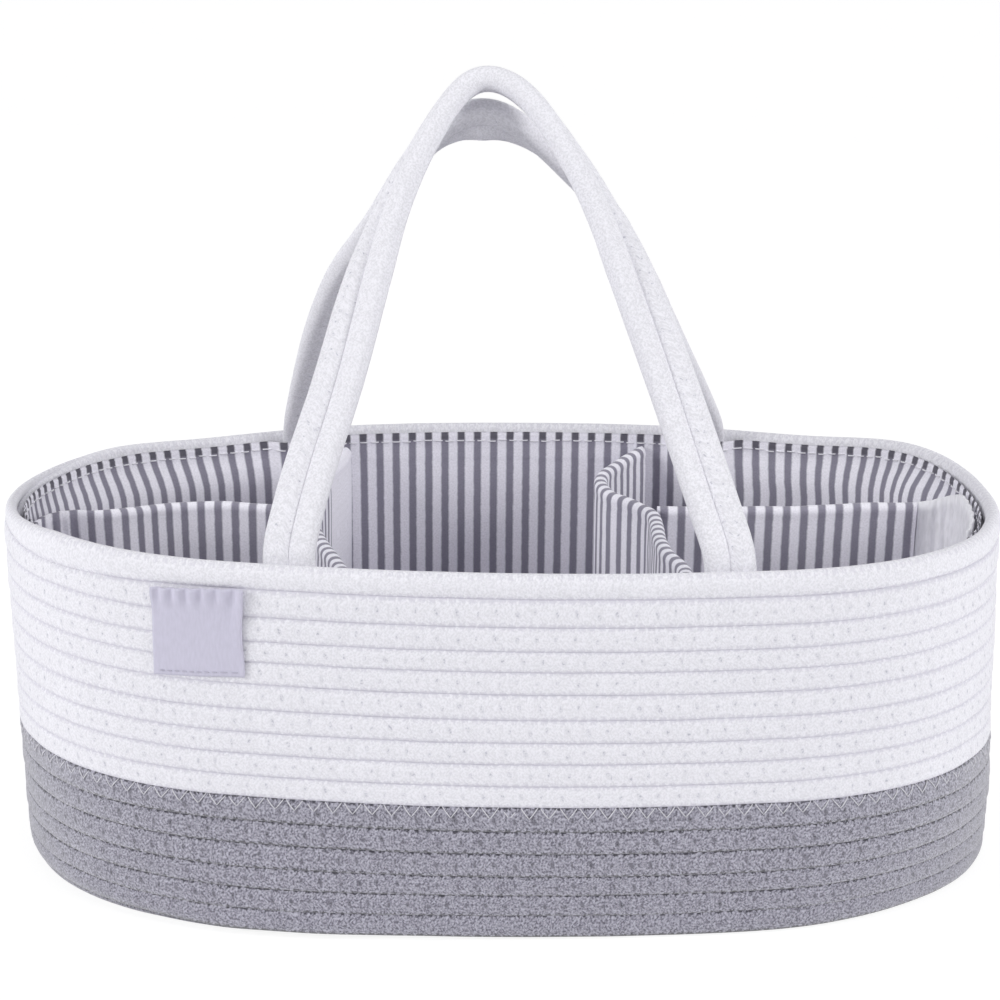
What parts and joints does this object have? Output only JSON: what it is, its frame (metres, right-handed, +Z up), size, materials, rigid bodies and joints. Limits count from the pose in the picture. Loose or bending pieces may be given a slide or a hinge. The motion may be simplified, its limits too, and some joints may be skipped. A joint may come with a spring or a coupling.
{
  "type": "diaper caddy",
  "caption": "Oval cotton rope caddy with a striped lining, carrying handles that fold outwards and lift-out T-shaped dividers.",
  "frame": {"origin": "centre of the base, on the surface that the caddy stands on", "axes": "+Z up, +X along the caddy's length towards its right end, -Y towards the front wall with the label"},
  "size_m": [0.3794, 0.2396, 0.3067],
  "materials": {
    "grey_rope": "braided cotton rope, heathered grey",
    "white_rope": "braided cotton rope, white",
    "striped_lining": "woven cotton with even grey and white stripes",
    "divider_board": "stiff pressed felt",
    "plain_tape": "plain off-white hook and loop tape",
    "label_cloth": "plain woven label tape, bare"
  },
  "bodies": {
    "basket": {"grey_rope_coil": "grey_rope", "white_rope_coil": "white_rope", "wall_lining": "striped_lining", "floor_lining": "striped_lining", "front_left_handle_end": "white_rope", "front_right_handle_end": "white_rope", "back_left_handle_end": "white_rope", "back_right_handle_end": "white_rope", "left_loop_strip": "plain_tape", "right_loop_strip": "plain_tape", "side_label": "label_cloth"},
    "front_handle": {"front_handle_outer_rope": "white_rope", "front_handle_inner_rope": "white_rope"},
    "back_handle": {"back_handle_outer_rope": "white_rope", "back_handle_inner_rope": "white_rope"},
    "left_insert": {"left_cross_divider_cover": "striped_lining", "left_cross_divider_board": "divider_board", "left_long_divider_cover": "striped_lining", "left_long_divider_board": "divider_board", "left_hook_tab": "plain_tape"},
    "right_insert": {"right_cross_divider_cover": "striped_lining", "right_cross_divider_board": "divider_board", "right_long_divider_cover": "striped_lining", "right_long_divider_board": "divider_board", "right_hook_tab": "plain_tape"}
  },
  "joints": [
    {"name": "front_handle_swing", "type": "hinge", "parent": "basket", "child": "front_handle", "pos_m": [0, -0.11005, 0.13627], "axis": [1, 0, 0], "range_deg": [0, 160]},
    {"name": "back_handle_swing", "type": "hinge", "parent": "basket", "child": "back_handle", "pos_m": [0, 0.10917, 0.13202], "axis": [-1, 0, 0], "range_deg": [0, 160]},
    {"name": "left_insert_lift", "type": "slide", "parent": "basket", "child": "left_insert", "axis": [0, 0, 1], "range_m": [0, 0.02]},
    {"name": "right_insert_lift", "type": "slide", "parent": "basket", "child": "right_insert", "axis": [0, 0, 1], "range_m": [0, 0.02]}
  ]
}
